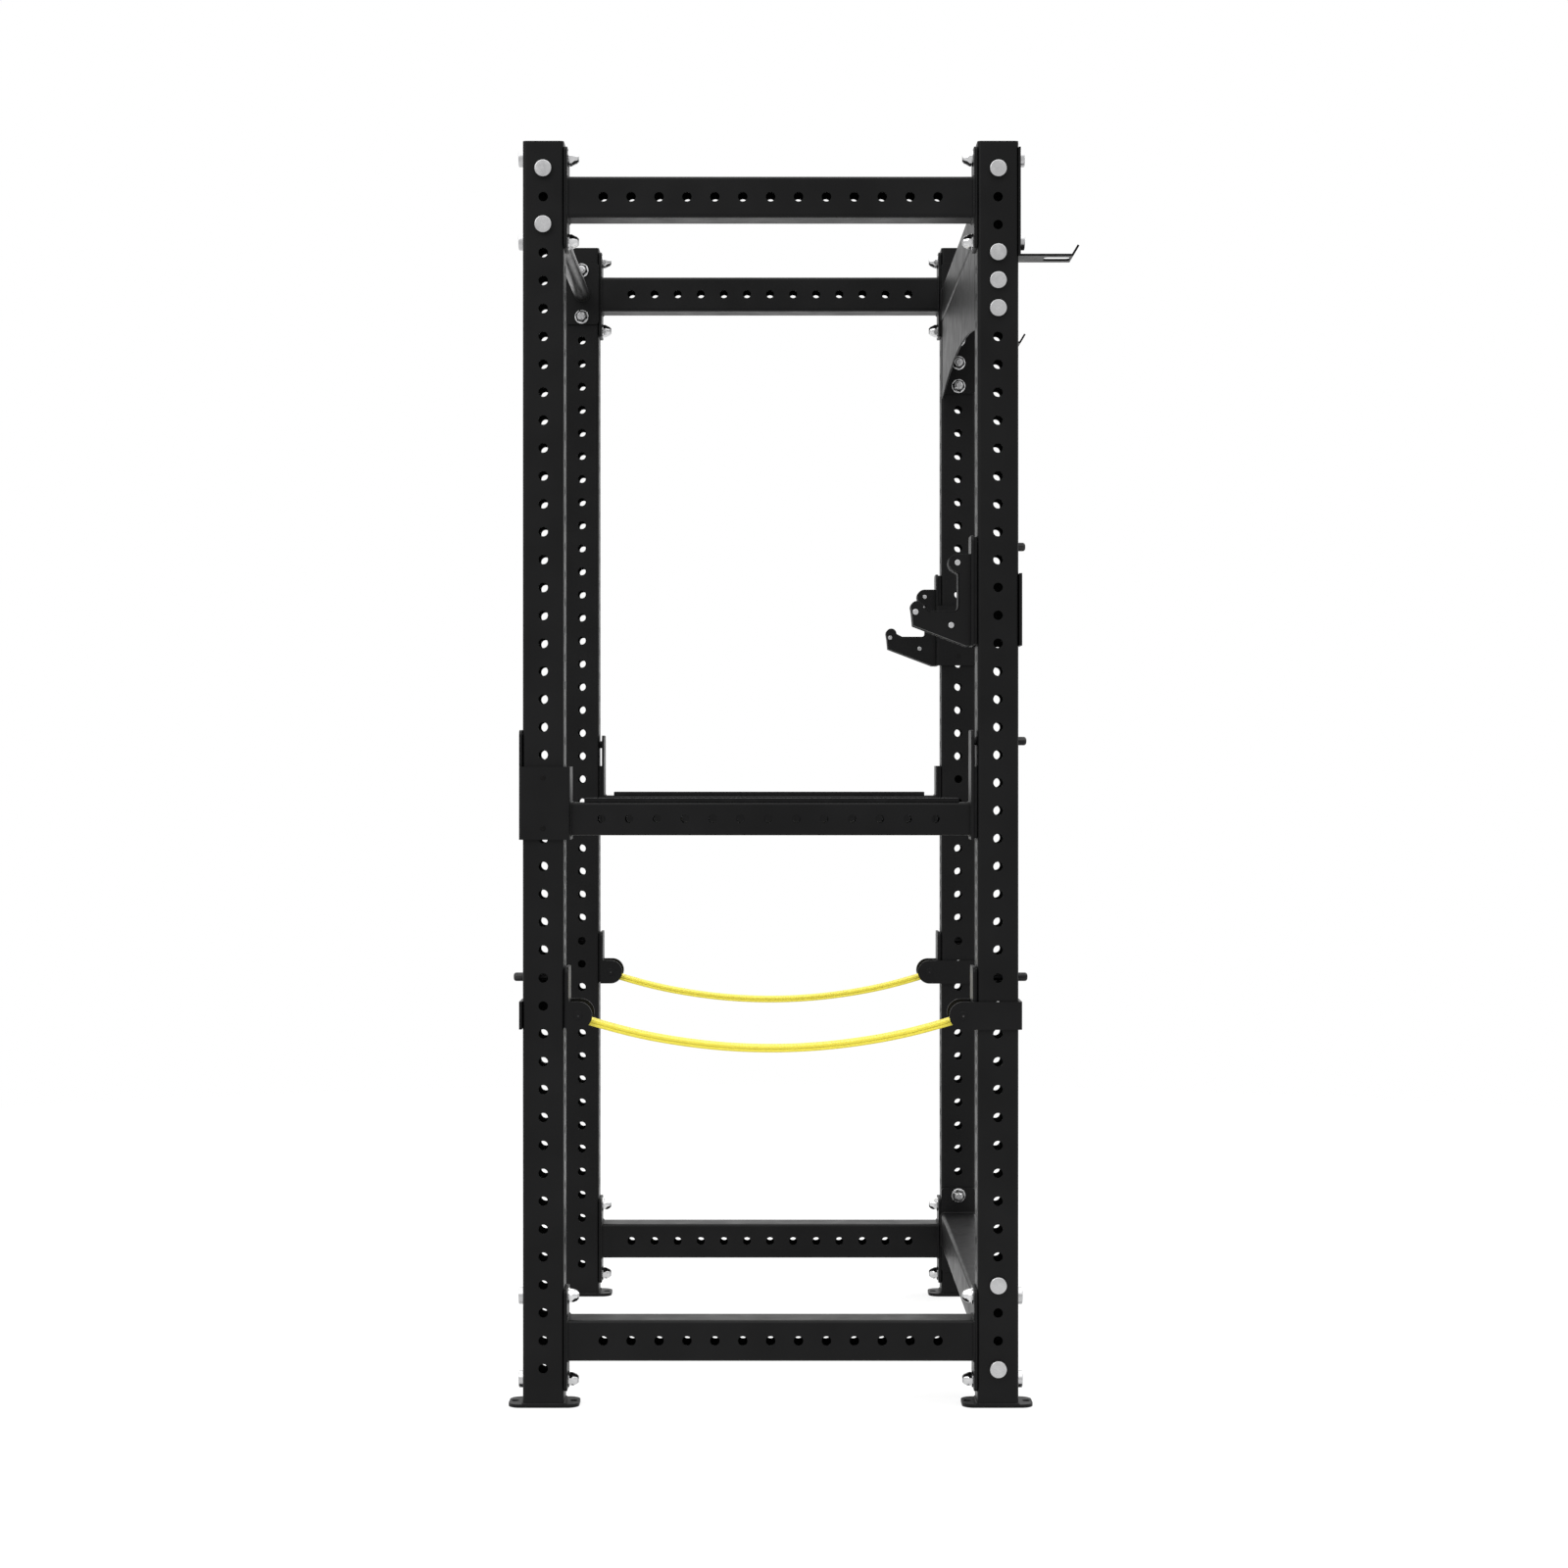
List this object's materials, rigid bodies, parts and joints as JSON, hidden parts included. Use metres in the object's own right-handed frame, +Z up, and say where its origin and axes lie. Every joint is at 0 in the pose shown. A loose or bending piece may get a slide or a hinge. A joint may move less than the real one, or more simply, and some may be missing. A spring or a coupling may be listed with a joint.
{
  "type": "power cage",
  "caption": "Free-standing steel power cage with a pull-up bar, bar cups, flip-down bar safeties and sagging webbing strap safeties.",
  "frame": {"origin": "on the floor, midway between the four uprights: the centre of the floor anchor pattern", "axes": "+Z up, +X towards the rear (the arched panel and the hangers), +Y towards the left side for a lifter facing the rear"},
  "size_m": [1.041, 1.2612, 2.3063],
  "materials": {
    "powder_coat": "fine-textured matte black powder coat",
    "bar_coat": "satin black powder coat, slightly worn by hands",
    "pin_steel": "black oxide, satin",
    "zinc_steel": "bright zinc plate, satin",
    "wear_plastic": "black UHMW polyethylene, waxy matte",
    "cap_plastic": "moulded black plastic, lightly grained",
    "black_screw": "black oxide",
    "yellow_webbing": "woven yellow nylon webbing with sewn edges"
  },
  "bodies": {
    "frame": {"foot_front_left": "powder_coat", "foot_front_right": "powder_coat", "foot_rear_left": "powder_coat", "foot_rear_right": "powder_coat", "frame_bolts": "zinc_steel", "frame_nuts": "zinc_steel", "frame_washers": "zinc_steel", "hanger_bracket_left": "powder_coat", "hanger_bracket_right": "powder_coat", "pullup_bar": "bar_coat", "pullup_bar_end_plates": "powder_coat", "rear_beam_end_plates": "powder_coat", "rear_bottom_beam": "powder_coat", "rear_panel": "powder_coat", "rear_top_beam": "powder_coat", "side_rail_bottom_left": "powder_coat", "side_rail_bottom_right": "powder_coat", "side_rail_end_plates": "powder_coat", "side_rail_top_left": "powder_coat", "side_rail_top_right": "powder_coat", "strap_bracket_front_left": "powder_coat", "strap_bracket_front_right": "powder_coat", "strap_bracket_rear_left": "powder_coat", "strap_bracket_rear_right": "powder_coat", "strap_cross_pins": "pin_steel", "strap_hanging_pins": "pin_steel", "strap_left": "yellow_webbing", "strap_pads": "wear_plastic", "strap_right": "yellow_webbing", "upright_caps": "cap_plastic", "upright_front_left": "powder_coat", "upright_front_right": "powder_coat", "upright_rear_left": "powder_coat", "upright_rear_right": "powder_coat"},
    "jcup_right": {"jcup_right_bracket": "powder_coat", "jcup_right_cheeks": "powder_coat", "jcup_right_fasteners": "zinc_steel", "jcup_right_liner": "wear_plastic", "jcup_right_pad": "wear_plastic", "jcup_right_pin": "pin_steel"},
    "jcup_left": {"jcup_left_bracket": "powder_coat", "jcup_left_cheeks": "powder_coat", "jcup_left_fasteners": "zinc_steel", "jcup_left_liner": "wear_plastic", "jcup_left_pad": "wear_plastic", "jcup_left_pin": "pin_steel"},
    "safety_right": {"safety_right_bar": "powder_coat", "safety_right_end_plate": "powder_coat", "safety_right_lock_bracket": "powder_coat", "safety_right_pads": "wear_plastic", "safety_right_pins": "pin_steel", "safety_right_screws": "black_screw", "safety_right_strip": "wear_plastic"},
    "safety_left": {"safety_left_bar": "powder_coat", "safety_left_end_plate": "powder_coat", "safety_left_lock_bracket": "powder_coat", "safety_left_pads": "wear_plastic", "safety_left_pins": "pin_steel", "safety_left_screws": "black_screw", "safety_left_strip": "wear_plastic"}
  },
  "joints": [
    {"name": "jcup_right_turn", "type": "hinge", "parent": "frame", "child": "jcup_right", "pos_m": [0.414, -0.5836, 1.56975], "axis": [1, 0, 0], "range_deg": [0, 95]},
    {"name": "jcup_left_turn", "type": "hinge", "parent": "frame", "child": "jcup_left", "pos_m": [0.414, 0.5836, 1.56975], "axis": [-1, 0, 0], "range_deg": [0, 95]},
    {"name": "safety_right_flip", "type": "hinge", "parent": "frame", "child": "safety_right", "pos_m": [0, -0.5836, 1.21415], "axis": [-1, 0, 0], "range_deg": [0, 95]},
    {"name": "safety_left_flip", "type": "hinge", "parent": "frame", "child": "safety_left", "pos_m": [0, 0.5836, 1.21415], "axis": [1, 0, 0], "range_deg": [0, 95]}
  ]
}
